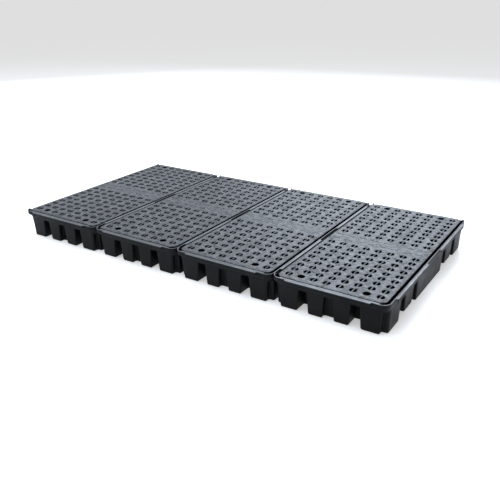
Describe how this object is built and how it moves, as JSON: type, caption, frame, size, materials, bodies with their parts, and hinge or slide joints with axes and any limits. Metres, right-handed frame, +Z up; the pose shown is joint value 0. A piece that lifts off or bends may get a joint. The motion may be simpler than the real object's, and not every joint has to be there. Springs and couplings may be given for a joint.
{
  "type": "spill containment pallet",
  "caption": "Low spill floor: a row of hooked-together black plastic sump trays, each covered by a lift-out perforated deck with drain holes.",
  "frame": {"origin": "middle of the footprint, on the floor", "axes": "+X along the row of modules, +Y along each module towards its back, +Z up; the hooks are on the +X and -Y sides"},
  "size_m": [2.4106, 1.2926, 0.17],
  "materials": {
    "tray_polyethylene": "satin",
    "deck_polyethylene": "matte"
  },
  "bodies": {
    "tray_1": {"tray_1": "tray_polyethylene"},
    "tray_2": {"tray_2": "tray_polyethylene"},
    "tray_3": {"tray_3": "tray_polyethylene"},
    "tray_4": {"tray_4": "tray_polyethylene"},
    "deck_1": {"deck_1": "deck_polyethylene"},
    "deck_2": {"deck_2": "deck_polyethylene"},
    "deck_3": {"deck_3": "deck_polyethylene"},
    "deck_4": {"deck_4": "deck_polyethylene"}
  },
  "joints": [
    {"name": "tray_3_unhook", "type": "slide", "parent": "tray_4", "child": "tray_3", "axis": [0, 0, 1], "range_m": [0, 0.18]},
    {"name": "tray_2_unhook", "type": "slide", "parent": "tray_3", "child": "tray_2", "axis": [0, 0, 1], "range_m": [0, 0.18]},
    {"name": "tray_1_unhook", "type": "slide", "parent": "tray_2", "child": "tray_1", "axis": [0, 0, 1], "range_m": [0, 0.18]},
    {"name": "deck_1_lift", "type": "slide", "parent": "tray_1", "child": "deck_1", "axis": [0, 0, 1], "range_m": [0, 0.2]},
    {"name": "deck_2_lift", "type": "slide", "parent": "tray_2", "child": "deck_2", "axis": [0, 0, 1], "range_m": [0, 0.2]},
    {"name": "deck_3_lift", "type": "slide", "parent": "tray_3", "child": "deck_3", "axis": [0, 0, 1], "range_m": [0, 0.2]},
    {"name": "deck_4_lift", "type": "slide", "parent": "tray_4", "child": "deck_4", "axis": [0, 0, 1], "range_m": [0, 0.2]}
  ]
}
